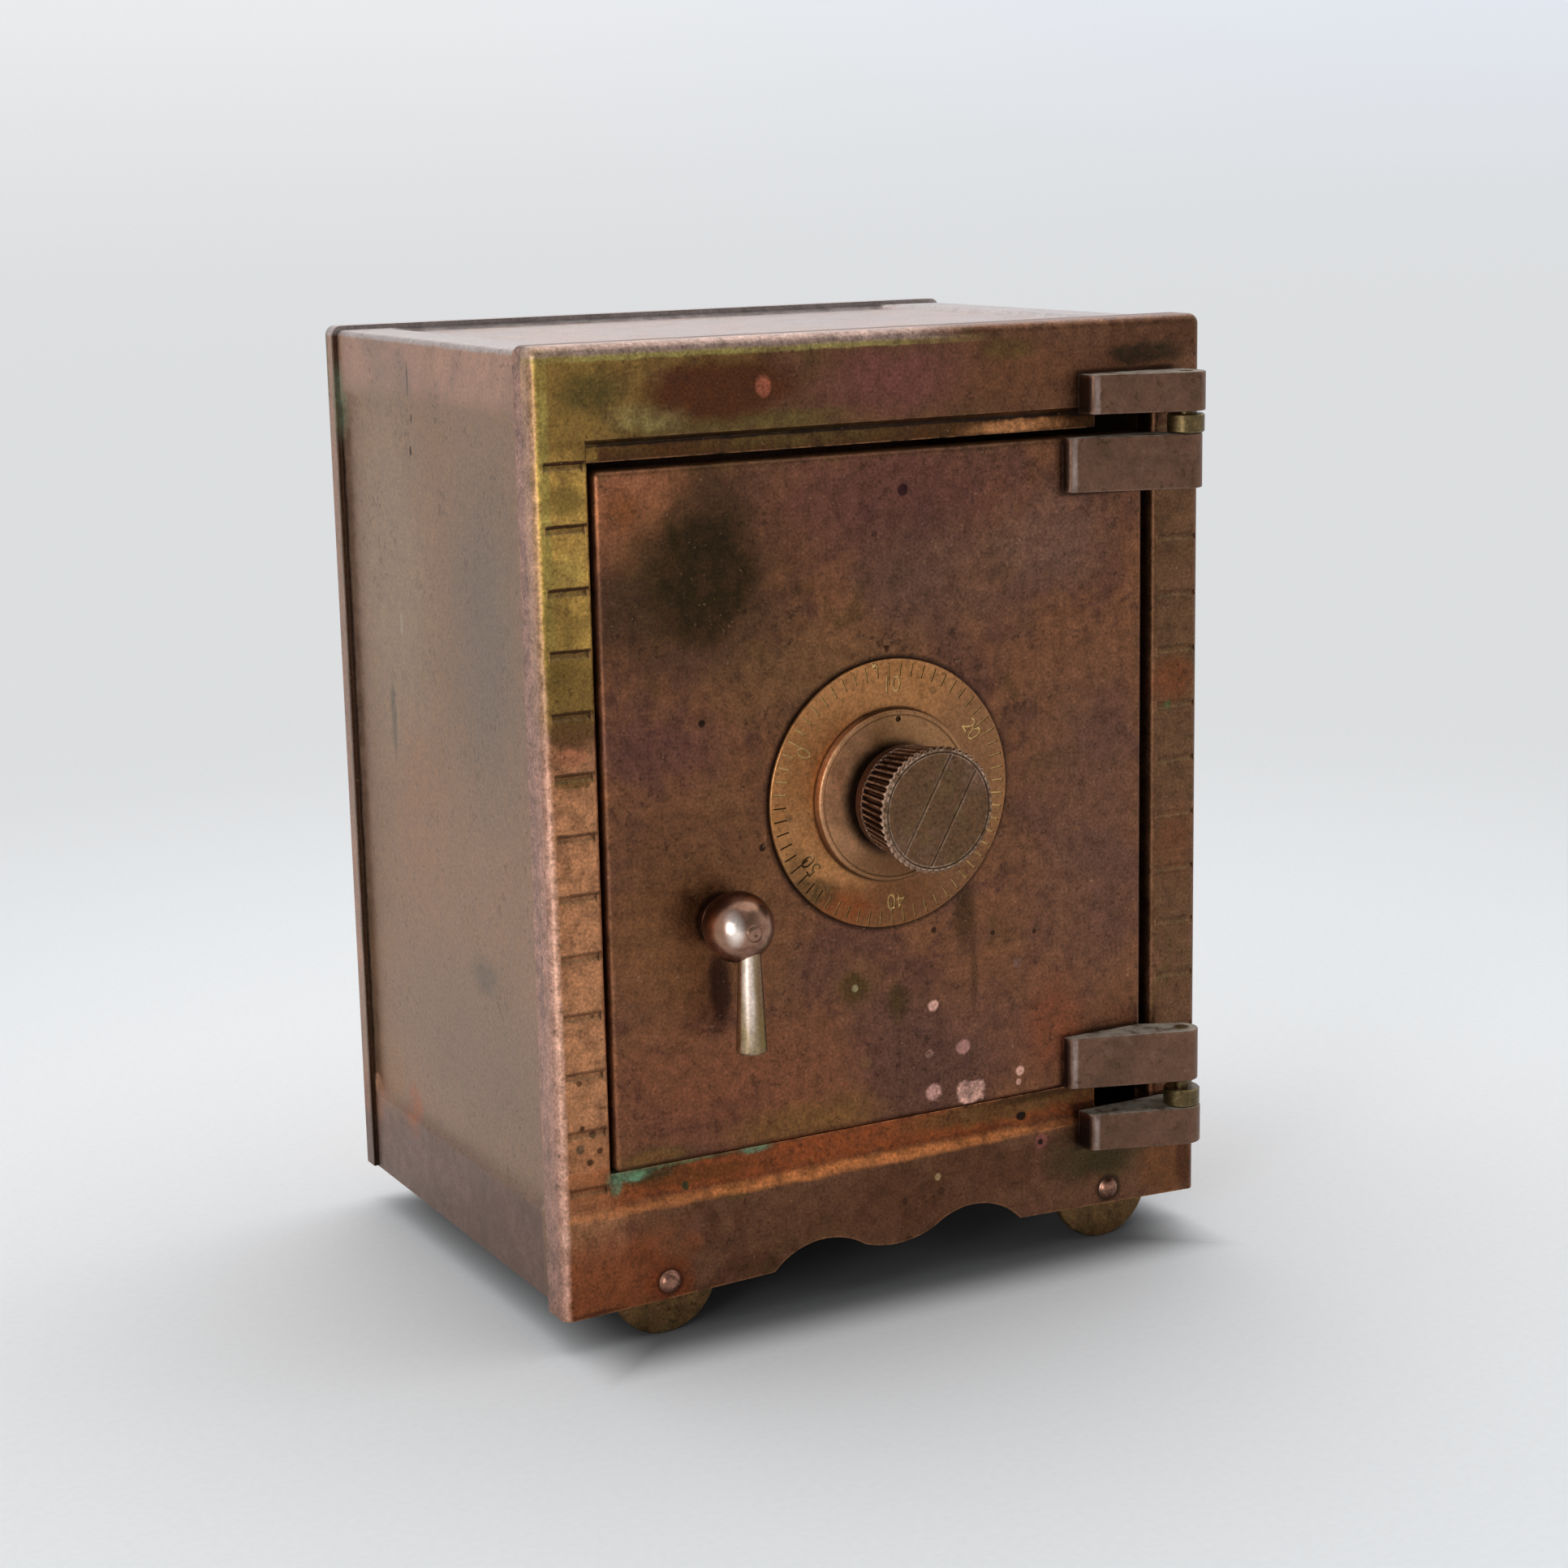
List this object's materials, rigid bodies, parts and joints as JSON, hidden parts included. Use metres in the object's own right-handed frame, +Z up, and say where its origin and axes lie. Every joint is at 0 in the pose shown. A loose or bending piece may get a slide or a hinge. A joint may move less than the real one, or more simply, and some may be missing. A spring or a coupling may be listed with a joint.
{
  "type": "miniature combination safe",
  "caption": "Miniature combination safe of pressed sheet brass with a hinged door, turning dial, bolt handle and small disc wheels.",
  "frame": {"origin": "centre of the bounding box in X and Y, on the surface that the wheels stand on", "axes": "+Z up, front of the safe towards -Y, hinges on the +X side"},
  "size_m": [0.102, 0.0888, 0.133],
  "materials": {
    "case_sheet": "copper-washed pressed brass sheet, aged",
    "door_sheet": "copper-washed brass sheet, dark brown patina",
    "dial_brass": "etched brass disc, aged golden brown",
    "knob_brass": "turned and fluted brass, copper-washed and worn",
    "handle_brass": "turned brass, polished by handling",
    "hinge_brass": "satin copper-washed brass block",
    "washer_brass": "bare turned brass",
    "wheel_brass": "blanked brass disc, dull",
    "lock_steel": "plain turned steel"
  },
  "bodies": {
    "case": {"front_frame": "case_sheet", "body_wrap": "case_sheet", "back_panel": "case_sheet", "floor_plate": "case_sheet", "door_stops": "case_sheet", "bolt_keeper": "case_sheet", "wheel_spacers": "washer_brass", "axle_rivets": "wheel_brass", "lower_frame_hinge_block": "hinge_brass", "upper_frame_hinge_block": "hinge_brass", "hinge_washers": "washer_brass", "hinge_pins": "lock_steel", "frame_block_rivets": "hinge_brass"},
    "door": {"door_panel": "door_sheet", "lower_door_hinge_block": "hinge_brass", "upper_door_hinge_block": "hinge_brass", "door_block_rivets": "hinge_brass", "dial_bushing": "washer_brass", "handle_bushing": "washer_brass", "bolt_guide_left": "door_sheet", "bolt_guide_right": "door_sheet", "lock_cover": "door_sheet", "cover_studs": "lock_steel", "cover_nuts": "lock_steel"},
    "dial": {"dial_plate": "dial_brass", "dial_cap": "dial_brass", "dial_knob": "knob_brass", "dial_spindle": "lock_steel", "spindle_screw": "lock_steel", "gate_cup": "washer_brass", "wave_washer": "lock_steel"},
    "handle": {"handle_ball": "handle_brass", "handle_collar": "handle_brass", "handle_lever": "handle_brass", "handle_spindle": "lock_steel", "bolt_crank": "lock_steel"},
    "bolt": {"lock_bolt": "lock_steel"},
    "front_left_wheel": {"wheel_front_left": "wheel_brass"},
    "front_right_wheel": {"wheel_front_right": "wheel_brass"},
    "rear_left_wheel": {"wheel_rear_left": "wheel_brass"},
    "rear_right_wheel": {"wheel_rear_right": "wheel_brass"}
  },
  "joints": [
    {"name": "door_swing", "type": "hinge", "parent": "case", "child": "door", "pos_m": [0.0448, -0.036, 0.07], "axis": [0, 0, 1], "range_deg": [0, 180]},
    {"name": "dial_spin", "type": "hinge", "parent": "door", "child": "dial", "pos_m": [-0.0007, -0.031, 0.0708], "axis": [0, 1, 0], "continuous": true},
    {"name": "handle_turn", "type": "hinge", "parent": "door", "child": "handle", "pos_m": [-0.02655, -0.031, 0.05685], "axis": [0, 1, 0], "range_deg": [0, 90]},
    {"name": "bolt_throw", "type": "slide", "parent": "door", "child": "bolt", "axis": [-1, 0, 0], "range_m": [0, 0.0042]},
    {"name": "front_left_spin", "type": "hinge", "parent": "case", "child": "front_left_wheel", "pos_m": [-0.0355, -0.02875, 0.0078], "axis": [0, 1, 0], "continuous": true},
    {"name": "front_right_spin", "type": "hinge", "parent": "case", "child": "front_right_wheel", "pos_m": [0.0355, -0.02875, 0.0078], "axis": [0, 1, 0], "continuous": true},
    {"name": "rear_left_spin", "type": "hinge", "parent": "case", "child": "rear_left_wheel", "pos_m": [-0.0355, 0.04165, 0.0078], "axis": [0, 1, 0], "continuous": true},
    {"name": "rear_right_spin", "type": "hinge", "parent": "case", "child": "rear_right_wheel", "pos_m": [0.0355, 0.04165, 0.0078], "axis": [0, 1, 0], "continuous": true}
  ],
  "couplings": [
    {"joint": "bolt_throw", "follows": "handle_turn", "m_per_rad": 0.002673}
  ]
}
